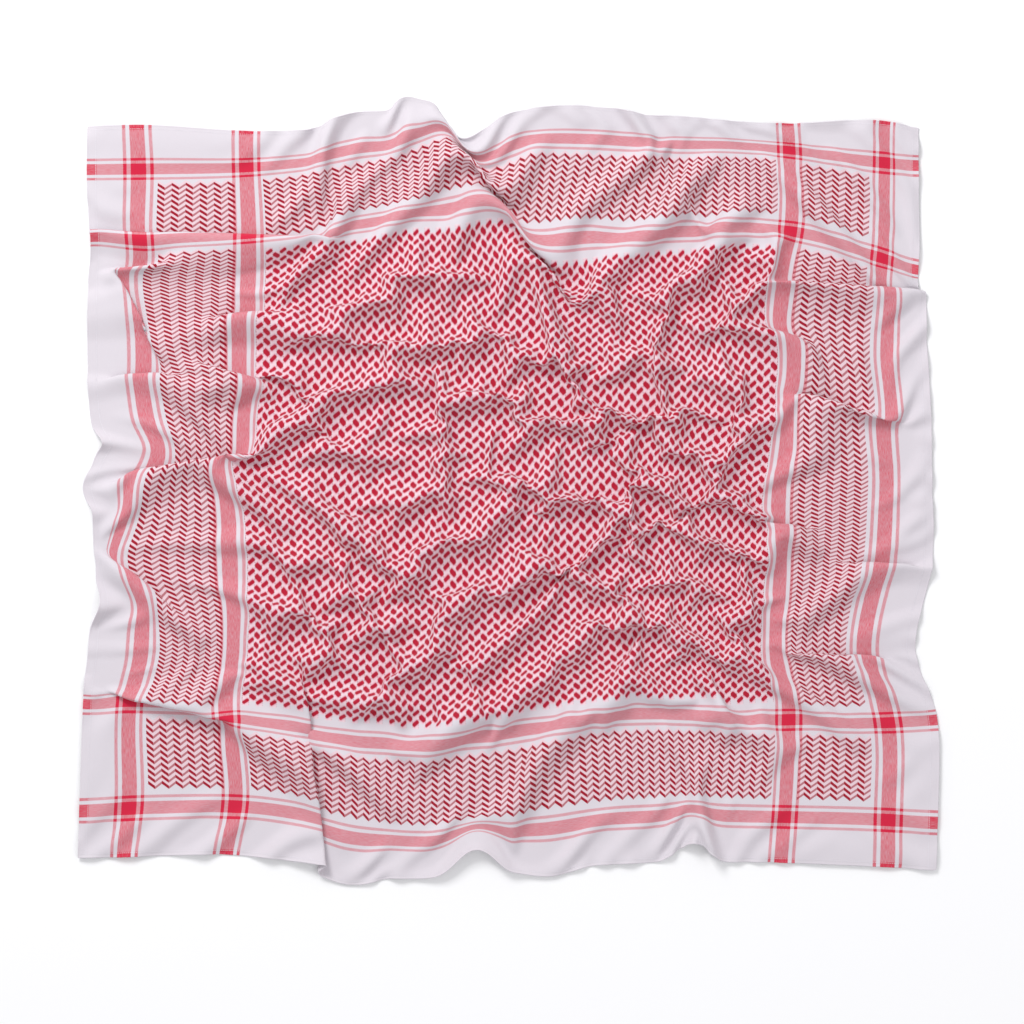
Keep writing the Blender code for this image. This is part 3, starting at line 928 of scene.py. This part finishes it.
STITCH_PITCH = 2.8 * MM
STITCH_LENGTH = 1.9 * MM
STITCH_INSET = 1.2 * MM
STITCH_END_GAP = 4 * MM
THREAD = 0.28 * MM
STITCH_SHAPE = ((-0.5, -0.6), (-0.3, 0.7), (0.3, 0.7), (0.5, -0.6))  # along in lengths, up in threads
THREAD_SHAPE = ((-1, 0), (0, 1), (1, 0))  # sideways and up, in threads

stations = np.arange(STITCH_END_GAP - HALF, HALF - STITCH_END_GAP, STITCH_PITCH)
rings = []
for out_axis, out, width in HEMS.values():
    for share, lift in STITCH_SHAPE:
        for sideways, up in THREAD_SHAPE:
            flat = np.empty((len(stations), 2))
            flat[:, 1 - out_axis] = stations + share * STITCH_LENGTH
            flat[:, out_axis] = out * (HALF - width + STITCH_INSET) + sideways * THREAD
            rings.append(on_cloth(flat, (lift + up) * THREAD))
ring, side = len(STITCH_SHAPE), len(THREAD_SHAPE)
points = np.array(rings).reshape(len(HEMS), ring, side, len(stations), 3)
points = points.transpose(0, 3, 1, 2, 4).reshape(-1, 3)
strip = np.arange(ring * side).reshape(ring, side)
faces = np.stack([strip[:-1, :-1], strip[1:, :-1], strip[1:, 1:], strip[:-1, 1:]], axis=-1).reshape(-1, 4)
firsts = np.arange(len(HEMS) * len(stations)) * ring * side
mesh = bpy.data.meshes.new("hem_stitches")
mesh.from_pydata(points, [], (faces[None] + firsts[:, None, None]).reshape(-1, 4).tolist())
mesh.shade_smooth()
stitches = bpy.data.objects.new("hem_stitches", mesh)
bpy.context.scene.collection.objects.link(stitches)
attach(stitches, "root")

# Spun cotton thread is twisted tighter than the yarn of the cloth, so it looks whiter and a little mottled.
TWISTS = 900.0  # to a metre
thread = bpy.data.materials.new("spun_cotton_thread")
thread.use_nodes = True
twist = node(thread.node_tree, NOISE, None, None, TWISTS)
tint = node(thread.node_tree, MIX, twist, linear("D9D4DC"), linear("F0EEF2"), data_type="RGBA")
shader = thread.node_tree.nodes["Principled BSDF"]
thread.node_tree.links.new(tint, shader.inputs["Base Color"])
shader.inputs["Roughness"].default_value = 0.8
stitches.data.materials.append(thread)

# --- Floor, light and camera -------------------------------------------------------------------------
# A plain white floor under a white studio sky, with a large lamp high at the upper left and a weak one at
# the lower right. The camera looks straight down.

FLOOR_HALF = 4.0
mesh = bpy.data.meshes.new("floor")
ends = (-FLOOR_HALF, FLOOR_HALF)
mesh.from_pydata([(x, y, 0) for y in ends for x in ends], [], [(0, 1, 3, 2)])
floor = bpy.data.objects.new("floor", mesh)
bpy.context.scene.collection.objects.link(floor)

# Uncoated white paper, matt and even.
paper = bpy.data.materials.new("white_paper")
paper.use_nodes = True
shader = paper.node_tree.nodes["Principled BSDF"]
shader.inputs["Base Color"].default_value = linear("FAFAFA")
shader.inputs["Roughness"].default_value = 0.9
floor.data.materials.append(paper)

world = bpy.data.worlds.new("studio")
world.use_nodes = True
background = world.node_tree.nodes["Background"]
background.inputs["Color"].default_value = linear("F6F6FA")
background.inputs["Strength"].default_value = 0.66
bpy.context.scene.world = world
bpy.context.scene.view_settings.view_transform = "Standard"

LIGHTS = {  # where, size in metres, watts
    "key": ((-1.7, 2.8, 2.7), 1.5, 118),
    "fill": ((1.8, -1.0, 3.0), 2.4, 20),
}
for name, (where, size, power) in LIGHTS.items():
    lamp = bpy.data.lights.new(name, "AREA")
    lamp.size = size
    lamp.energy = power
    light = bpy.data.objects.new(name, lamp)
    light.location = where
    light.rotation_euler = Vector(where).to_track_quat("Z", "Y").to_euler()
    bpy.context.scene.collection.objects.link(light)

VIEW_WIDTH = 1.341
CAMERA_AT = (0.0026, -0.0249, 5.0)
camera = bpy.data.cameras.new("camera")
camera.sensor_width = 36
camera.lens = camera.sensor_width * CAMERA_AT[2] / VIEW_WIDTH
eye = bpy.data.objects.new("camera", camera)
eye.location = CAMERA_AT
bpy.context.scene.collection.objects.link(eye)
bpy.context.scene.camera = eye
